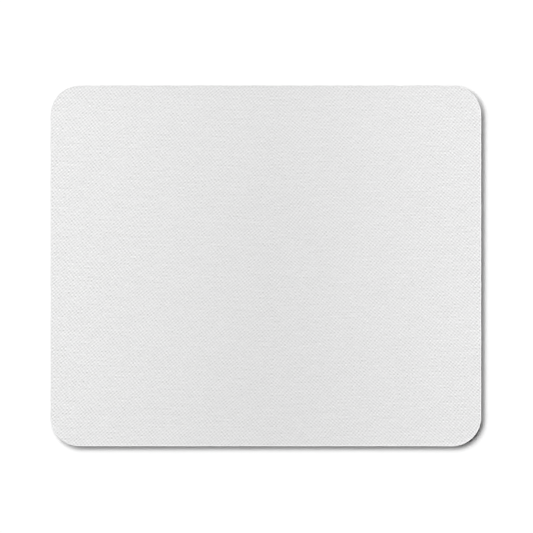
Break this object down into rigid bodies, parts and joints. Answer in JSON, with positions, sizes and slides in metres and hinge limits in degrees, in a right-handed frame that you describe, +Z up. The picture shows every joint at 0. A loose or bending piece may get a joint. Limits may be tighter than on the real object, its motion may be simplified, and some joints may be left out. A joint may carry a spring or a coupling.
{
  "type": "mouse pad",
  "caption": "Flat rounded-rectangle mouse pad: white woven cloth face bonded to a black foam-rubber base that grips the desk.",
  "frame": {"origin": "middle of the underside, on the desk", "axes": "+X along the long side, to the right of a person at the desk; +Y along the short side, away from that person; +Z up, out of the cloth face"},
  "size_m": [0.235, 0.1968, 0.0032],
  "materials": {
    "white_cloth": "matt white plain-woven polyester",
    "bond_film": "thin line of hot-melt film between cloth and rubber",
    "black_rubber": "matt black foam rubber, fine-celled on the cut edge, with a moulded grip pattern below"
  },
  "bodies": {
    "root": {"cloth_top": "white_cloth", "bonding_film": "bond_film", "rubber_base": "black_rubber"}
  },
  "joints": []
}
